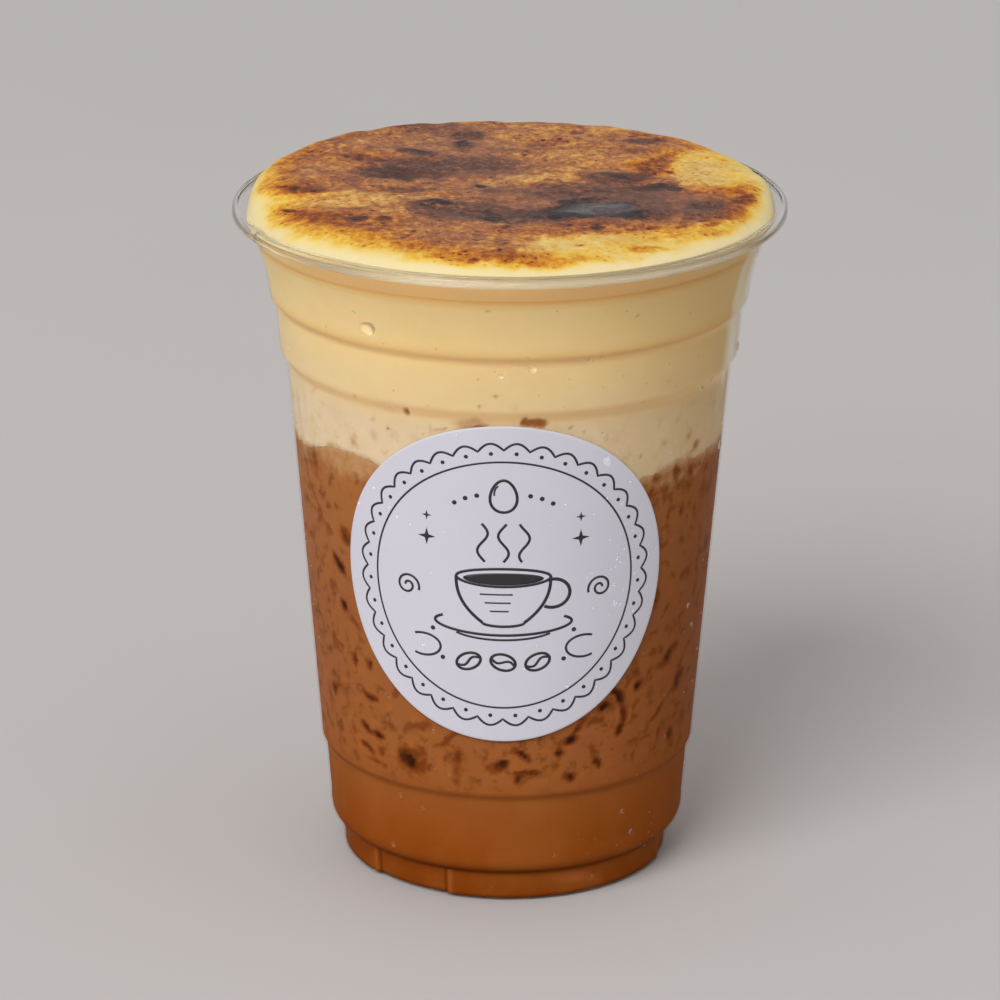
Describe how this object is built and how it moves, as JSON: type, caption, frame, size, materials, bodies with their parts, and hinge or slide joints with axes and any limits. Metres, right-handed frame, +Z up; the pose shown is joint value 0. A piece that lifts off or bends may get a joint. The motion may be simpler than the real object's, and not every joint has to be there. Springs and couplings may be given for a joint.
{
  "type": "egg coffee in a clear plastic cup",
  "caption": "Iced milky coffee under a deep torched egg foam that stands proud of the rim, in a tapered clear plastic cup with a round paper sticker on the front.",
  "frame": {"origin": "centre of the cup's foot, on the surface that the cup stands on", "axes": "+Z up along the cup's axis, -Y towards the sticker, +X to the right as seen from the sticker's side"},
  "size_m": [0.098, 0.098, 0.1261],
  "materials": {
    "clear_plastic": "clear glossy thermoformed plastic",
    "coffee": "milky brown liquid, wet",
    "egg_foam": "smooth egg foam, torched brown on top",
    "sticker_paper": "smooth coated white paper with thin black line print"
  },
  "bodies": {
    "root": {"cup": "clear_plastic", "coffee": "coffee", "foam": "egg_foam", "sticker": "sticker_paper"}
  },
  "joints": []
}
